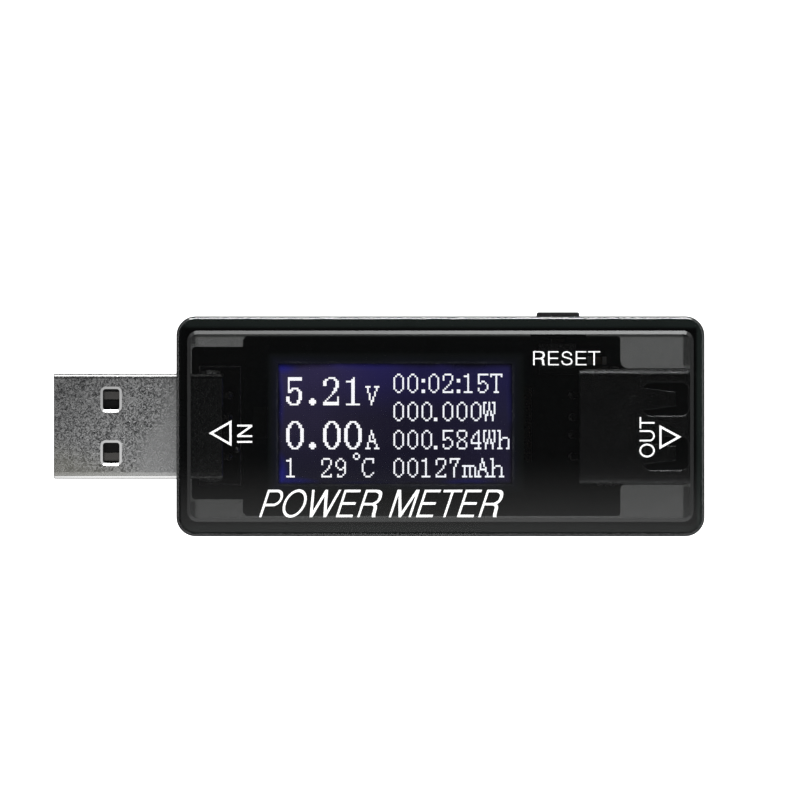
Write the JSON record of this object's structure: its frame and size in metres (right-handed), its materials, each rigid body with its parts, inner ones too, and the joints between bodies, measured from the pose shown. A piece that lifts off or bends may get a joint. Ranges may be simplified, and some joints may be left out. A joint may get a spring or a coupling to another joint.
{
  "type": "usb power meter",
  "caption": "Inline USB-A power meter: a flat rounded smoke-clear box with a plug at one end, a socket at the other, a dot-matrix display between them and a reset button in one long side.",
  "frame": {"origin": "centre of the case's flat back face", "axes": "+X along the case from the plug to the socket, +Y towards the reset button's side, +Z out of the display face"},
  "size_m": [0.0741, 0.0255, 0.0126],
  "materials": {
    "smoke_case": "smoke-tinted clear polycarbonate, polished",
    "board": "black solder mask on glass-epoxy board",
    "plug_steel": "nickel-plated drawn steel, satin",
    "socket_steel": "nickel-plated stamped steel",
    "connector_plastic": "black moulded insulator",
    "bezel_plastic": "black moulded display frame",
    "light_guide": "light guide with blue backlight",
    "polariser": "blue-violet negative display film",
    "display_glass": "thin clear glass",
    "flex_film": "amber polyimide film",
    "foam": "black foam tape",
    "led_package": "white side-firing LED package",
    "plunger_plastic": "brown moulded plunger",
    "chip_package": "black moulded epoxy with tinned leads",
    "resistor": "black coated resistor with tinned ends",
    "ceramic": "tan ceramic chip capacitor with tinned ends",
    "gold_contact": "gold-flashed phosphor bronze"
  },
  "bodies": {
    "case": {"backlight_led": "led_package", "bottom_cover": "smoke_case", "circuit_board": "board", "crystal": "socket_steel", "current_amplifier": "chip_package", "data_resistor_1": "resistor", "data_resistor_2": "resistor", "divider_resistor_1": "resistor", "divider_resistor_2": "resistor", "flex_connector": "connector_plastic", "input_capacitor": "ceramic", "lcd_backlight": "light_guide", "lcd_bezel": "bezel_plastic", "lcd_flex": "flex_film", "lcd_foam_pad_1": "foam", "lcd_foam_pad_2": "foam", "lcd_front_glass": "display_glass", "lcd_polariser": "polariser", "lcd_rear_glass": "display_glass", "memory_chip": "chip_package", "microcontroller": "chip_package", "output_capacitor": "ceramic", "plug_contact_1": "gold_contact", "plug_contact_2": "gold_contact", "plug_contact_3": "gold_contact", "plug_contact_4": "gold_contact", "plug_insulator": "connector_plastic", "plug_shell": "plug_steel", "regulator_capacitor": "ceramic", "shunt_resistor": "resistor", "socket_contact_1": "gold_contact", "socket_contact_2": "gold_contact", "socket_contact_3": "gold_contact", "socket_contact_4": "gold_contact", "socket_insulator": "connector_plastic", "socket_shell": "socket_steel", "switch_body": "connector_plastic", "switch_cover": "socket_steel", "switch_dome": "socket_steel", "top_cover": "smoke_case", "voltage_regulator": "chip_package"},
    "button": {"reset_button": "smoke_case", "switch_plunger": "plunger_plastic"}
  },
  "joints": [
    {"name": "reset_press", "type": "slide", "parent": "case", "child": "button", "axis": [0, -1, 0], "range_m": [0, 0.0003], "stiffness_N_per_m": 2000, "deforming": ["switch_dome"]}
  ]
}
